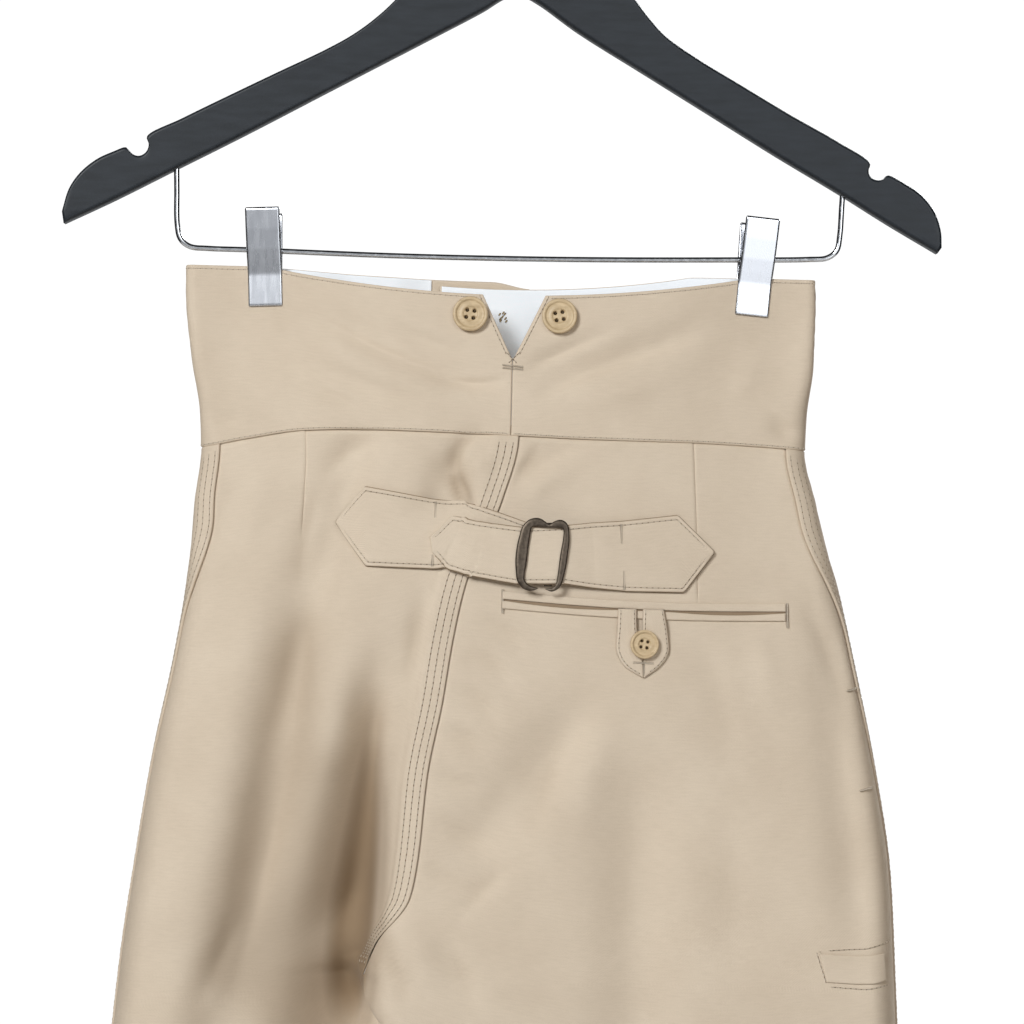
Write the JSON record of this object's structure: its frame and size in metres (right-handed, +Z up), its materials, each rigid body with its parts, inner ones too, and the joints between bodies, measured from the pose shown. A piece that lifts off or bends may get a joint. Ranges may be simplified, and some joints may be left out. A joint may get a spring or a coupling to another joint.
{
  "type": "balloon trousers on a clip hanger",
  "caption": "High-waisted balloon trousers of beige twill, with a cinch strap and notched back, hung by the waistband from a clip hanger.",
  "frame": {"origin": "inside top of the hook, where a rail carries the hanger", "axes": "+Z up, +Y towards the front of the trousers, +X towards the wearer's right side, so that the back faces -Y"},
  "size_m": [0.4391, 0.0693, 1.2663],
  "materials": {
    "twill": "matte, fine diagonal weave",
    "lining": "matte",
    "button": "satin",
    "bronze": "satin, antique bronze",
    "black_wood": "satin black lacquer",
    "chrome": "polished"
  },
  "bodies": {
    "root": {"back_left": "twill", "back_right": "twill", "front_left": "twill", "front_right": "twill", "waistband_left": "twill", "waistband_right": "twill", "fly_facing": "twill", "strap_left": "twill", "strap_right": "twill", "pocket_welt_upper": "twill", "pocket_welt_lower": "twill", "pocket_tab": "twill", "rule_pocket_welt": "twill", "lining_left": "lining", "lining_right": "lining", "brace_button_left": "button", "brace_button_right": "button", "band_button": "button", "brace_button_front_left": "button", "brace_button_front_right": "button", "pocket_button": "button", "buckle": "bronze", "hanger_body": "black_wood", "trouser_bar": "chrome", "hook": "chrome", "clip_left_back": "chrome", "clip_left_front": "chrome", "clip_left_spring": "chrome", "clip_right_back": "chrome", "clip_right_front": "chrome", "clip_right_spring": "chrome"}
  },
  "joints": []
}
